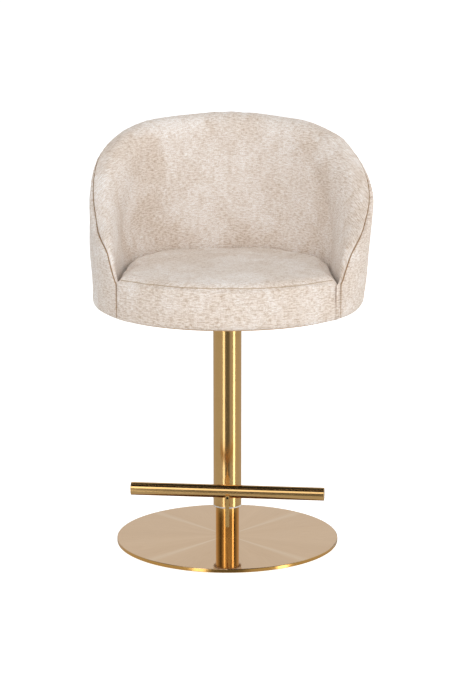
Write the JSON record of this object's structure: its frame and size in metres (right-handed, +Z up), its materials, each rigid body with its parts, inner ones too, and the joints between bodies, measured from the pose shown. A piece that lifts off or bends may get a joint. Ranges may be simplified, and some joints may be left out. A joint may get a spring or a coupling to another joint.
{
  "type": "bar stool with footrest",
  "caption": "Counter-height swivel stool: padded tub seat with a low wraparound back, tube column with a footrest bar on a plate arm, and a flat round foot.",
  "frame": {"origin": "on the floor, on the swivel axis, at the centre of the round foot's underside", "axes": "+Z up along the swivel axis; the seat opens and the footrest points towards -Y; +X is on the right for someone who looks at the stool's front"},
  "size_m": [0.598, 0.582, 0.8856],
  "materials": {
    "seat_fabric": "cream chenille",
    "shell_fabric": "cream chenille",
    "gold_tube": "polished",
    "foot_plate": "brushed gold plate",
    "inner_column": "polished",
    "bushing": "matte",
    "floor_pad": "matte",
    "bare_steel": "satin",
    "black_steel": "satin",
    "bearing_steel": "polished",
    "bearing_cage": "satin",
    "hardware": "zinc plated",
    "dark_screw": "black oxide",
    "plywood": "raw birch plywood",
    "foam": "polyurethane foam",
    "dust_cloth": "nonwoven"
  },
  "bodies": {
    "base": {"base_pad": "floor_pad", "base_plate": "foot_plate", "base_screws": "hardware", "foot_plug": "bare_steel", "inner_column": "inner_column", "column_cap": "bare_steel", "lower_race": "bearing_steel", "bearing_balls": "bearing_steel", "ball_cage": "bearing_cage", "pivot_bolt": "hardware", "pivot_washer": "hardware"},
    "swivel": {"outer_tube": "gold_tube", "tube_head": "bare_steel", "lower_bushing": "bushing", "upper_bushing": "bushing", "upper_race": "bearing_steel", "footrest_arm": "gold_tube", "footrest_bar": "gold_tube", "footrest_cap_left": "gold_tube", "footrest_cap_right": "gold_tube", "footrest_screw": "dark_screw", "seat_plate": "black_steel", "plate_gussets": "black_steel", "seat_bolts": "hardware", "seat_washers": "hardware", "tee_nuts": "hardware", "seat_board": "plywood", "dust_cover": "dust_cloth", "seat_foam": "foam", "seat_cover": "seat_fabric", "shell_frame": "plywood", "frame_screws": "hardware", "outer_padding": "foam", "inner_padding": "foam", "outer_cover": "shell_fabric", "inner_cover": "shell_fabric"}
  },
  "joints": [
    {"name": "seat_swivel", "type": "hinge", "parent": "base", "child": "swivel", "pos_m": [0, 0, 0], "axis": [0, 0, 1], "continuous": true}
  ]
}
